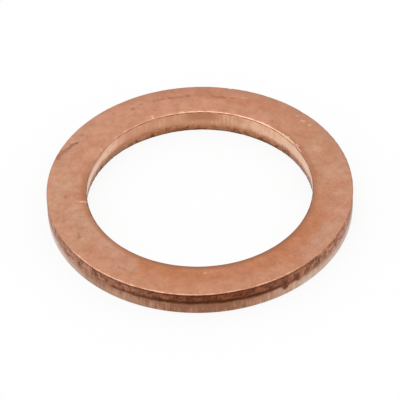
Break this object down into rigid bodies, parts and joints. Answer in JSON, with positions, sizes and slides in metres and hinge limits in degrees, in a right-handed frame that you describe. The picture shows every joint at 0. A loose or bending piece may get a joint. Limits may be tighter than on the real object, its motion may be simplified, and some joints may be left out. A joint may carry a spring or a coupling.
{
  "type": "crush washer",
  "caption": "Flat copper ring with a plain bore, squeezed between two flat faces to seal a threaded joint against oil, fuel or brake fluid.",
  "frame": {"origin": "on the washer's axis, in the plane of the lower face that it lies on", "axes": "+Z along the axis, from the lower face to the upper one; X and Y lie in the lower face and are equal, because the washer is round"},
  "size_m": [0.0178, 0.0178, 0.0015],
  "materials": {
    "copper": "satin, as blanked from annealed copper sheet and tumbled"
  },
  "bodies": {
    "root": {"crush_washer": "copper"}
  },
  "joints": []
}
